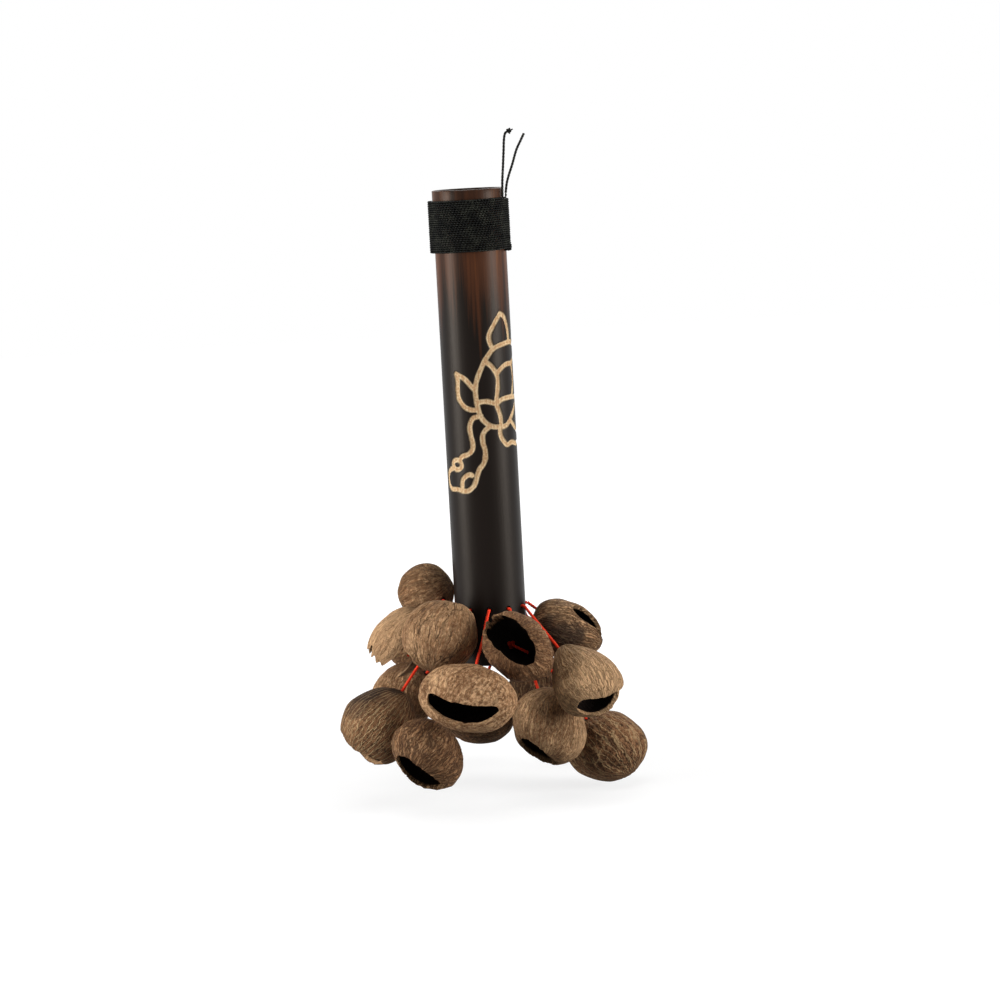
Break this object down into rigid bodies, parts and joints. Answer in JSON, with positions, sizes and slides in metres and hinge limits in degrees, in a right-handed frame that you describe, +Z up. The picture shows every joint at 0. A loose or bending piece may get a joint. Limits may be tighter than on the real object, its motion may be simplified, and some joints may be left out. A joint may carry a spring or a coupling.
{
  "type": "nut shaker",
  "caption": "Hand-held rattle: a dark bamboo tube with a black cord whipping round its top and hollow nut shells hanging on short red cords round its lower end.",
  "frame": {"origin": "on the tube's axis, halfway along the tube, where the hand holds it", "axes": "+Z up along the tube towards the whipping, -Y towards the viewer of the picture, +X to the viewer's right"},
  "size_m": [0.1397, 0.1585, 0.3026],
  "materials": {
    "stained_bamboo": "dark stain, half gloss",
    "black_cord": "twisted cord, waxed",
    "red_cord": "twisted cord, matt",
    "nut_shell": "wrinkled dry husk, matt"
  },
  "bodies": {
    "handle": {"bamboo_tube": "stained_bamboo", "whipping_under_layer": "black_cord", "whipping_cord": "black_cord", "loose_end_knotted": "black_cord", "loose_end_bare": "black_cord", "tube_knot_01": "red_cord", "tube_knot_02": "red_cord", "tube_knot_03": "red_cord", "tube_knot_04": "red_cord", "tube_knot_05": "red_cord", "tube_knot_06": "red_cord", "tube_knot_07": "red_cord", "tube_knot_08": "red_cord", "tube_knot_09": "red_cord", "tube_knot_10": "red_cord", "tube_knot_11": "red_cord", "tube_knot_12": "red_cord", "tube_knot_13": "red_cord", "tube_knot_14": "red_cord", "tube_knot_15": "red_cord", "tube_knot_16": "red_cord", "tube_knot_17": "red_cord", "tube_knot_18": "red_cord"},
    "nut_01": {"nut_shell_01": "nut_shell", "nut_cord_01": "red_cord"},
    "nut_02": {"nut_shell_02": "nut_shell", "nut_cord_02": "red_cord"},
    "nut_03": {"nut_shell_03": "nut_shell", "nut_cord_03": "red_cord"},
    "nut_04": {"nut_shell_04": "nut_shell", "nut_cord_04": "red_cord"},
    "nut_05": {"nut_shell_05": "nut_shell", "nut_cord_05": "red_cord"},
    "nut_06": {"nut_shell_06": "nut_shell", "nut_cord_06": "red_cord"},
    "nut_07": {"nut_shell_07": "nut_shell", "nut_cord_07": "red_cord"},
    "nut_08": {"nut_shell_08": "nut_shell", "nut_cord_08": "red_cord"},
    "nut_09": {"nut_shell_09": "nut_shell", "nut_cord_09": "red_cord"},
    "nut_10": {"nut_shell_10": "nut_shell", "nut_cord_10": "red_cord"},
    "nut_11": {"nut_shell_11": "nut_shell", "nut_cord_11": "red_cord"},
    "nut_12": {"nut_shell_12": "nut_shell", "nut_cord_12": "red_cord"},
    "nut_13": {"nut_shell_13": "nut_shell", "nut_cord_13": "red_cord"},
    "nut_14": {"nut_shell_14": "nut_shell", "nut_cord_14": "red_cord"},
    "nut_15": {"nut_shell_15": "nut_shell", "nut_cord_15": "red_cord"},
    "nut_16": {"nut_shell_16": "nut_shell", "nut_cord_16": "red_cord"},
    "nut_17": {"nut_shell_17": "nut_shell", "nut_cord_17": "red_cord"},
    "nut_18": {"nut_shell_18": "nut_shell", "nut_cord_18": "red_cord"}
  },
  "joints": [
    {"name": "nut_01_swing", "type": "hinge", "parent": "handle", "child": "nut_01", "pos_m": [-0.01693, 0.00304, -0.082], "axis": [0.7743, 0.4041, 0.4871], "range_deg": [0, 60]},
    {"name": "nut_02_swing", "type": "hinge", "parent": "handle", "child": "nut_02", "pos_m": [-0.0172, -0.00034, -0.096], "axis": [-0.0454, 0.0073, 0.9989], "range_deg": [0, 14]},
    {"name": "nut_03_swing", "type": "hinge", "parent": "handle", "child": "nut_03", "pos_m": [-0.0098, -0.01414, -0.082], "axis": [-0.7544, 0.6565, 0], "range_deg": [0, 60]},
    {"name": "nut_04_swing", "type": "hinge", "parent": "handle", "child": "nut_04", "pos_m": [0.00416, -0.01669, -0.096], "axis": [-0.8368, -0.2239, 0.4997], "range_deg": [0, 52]},
    {"name": "nut_05_swing", "type": "hinge", "parent": "handle", "child": "nut_05", "pos_m": [0.0171, 0.00185, -0.082], "axis": [0.115, -0.9934, 0], "range_deg": [0, 60]},
    {"name": "nut_06_swing", "type": "hinge", "parent": "handle", "child": "nut_06", "pos_m": [0.01539, -0.00769, -0.082], "axis": [-0.2678, -0.7811, 0.5641], "range_deg": [0, 60]},
    {"name": "nut_07_swing", "type": "hinge", "parent": "handle", "child": "nut_07", "pos_m": [-0.01589, -0.0066, -0.082], "axis": [-0.2736, 0.9618, 0], "range_deg": [0, 60]},
    {"name": "nut_08_swing", "type": "hinge", "parent": "handle", "child": "nut_08", "pos_m": [-0.0006, -0.01719, -0.082], "axis": [-0.9667, 0.2558, 0], "range_deg": [0, 60]},
    {"name": "nut_09_swing", "type": "hinge", "parent": "handle", "child": "nut_09", "pos_m": [-0.01045, -0.01366, -0.096], "axis": [-0.5212, -0.626, 0.5801], "range_deg": [0, 14]},
    {"name": "nut_10_swing", "type": "hinge", "parent": "handle", "child": "nut_10", "pos_m": [0.00879, -0.01478, -0.082], "axis": [-0.9338, 0.2271, -0.2765], "range_deg": [0, 14]},
    {"name": "nut_11_swing", "type": "hinge", "parent": "handle", "child": "nut_11", "pos_m": [0.01564, -0.00715, -0.096], "axis": [-0.4538, -0.7495, -0.4821], "range_deg": [0, 60]},
    {"name": "nut_12_swing", "type": "hinge", "parent": "handle", "child": "nut_12", "pos_m": [0.00349, 0.01684, -0.096], "axis": [0.959, -0.0373, -0.2811], "range_deg": [0, 19]},
    {"name": "nut_13_swing", "type": "hinge", "parent": "handle", "child": "nut_13", "pos_m": [-0.01099, 0.01323, -0.096], "axis": [0.2148, 0.8982, 0.3835], "range_deg": [0, 22]},
    {"name": "nut_14_swing", "type": "hinge", "parent": "handle", "child": "nut_14", "pos_m": [0.01534, 0.00777, -0.096], "axis": [0.6498, -0.7601, 0], "range_deg": [0, 31]},
    {"name": "nut_15_swing", "type": "hinge", "parent": "handle", "child": "nut_15", "pos_m": [-0.00427, 0.01666, -0.082], "axis": [0.9946, 0.104, 0], "range_deg": [0, 43]},
    {"name": "nut_16_swing", "type": "hinge", "parent": "handle", "child": "nut_16", "pos_m": [0.00542, 0.01632, -0.082], "axis": [0.988, -0.1544, 0], "range_deg": [0, 42]},
    {"name": "nut_17_swing", "type": "hinge", "parent": "handle", "child": "nut_17", "pos_m": [0.01338, 0.0108, -0.082], "axis": [0.4273, -0.7758, -0.4643], "range_deg": [0, 60]},
    {"name": "nut_18_swing", "type": "hinge", "parent": "handle", "child": "nut_18", "pos_m": [-0.0126, 0.01171, -0.082], "axis": [0.8773, 0.1546, -0.4544], "range_deg": [0, 42]}
  ]
}
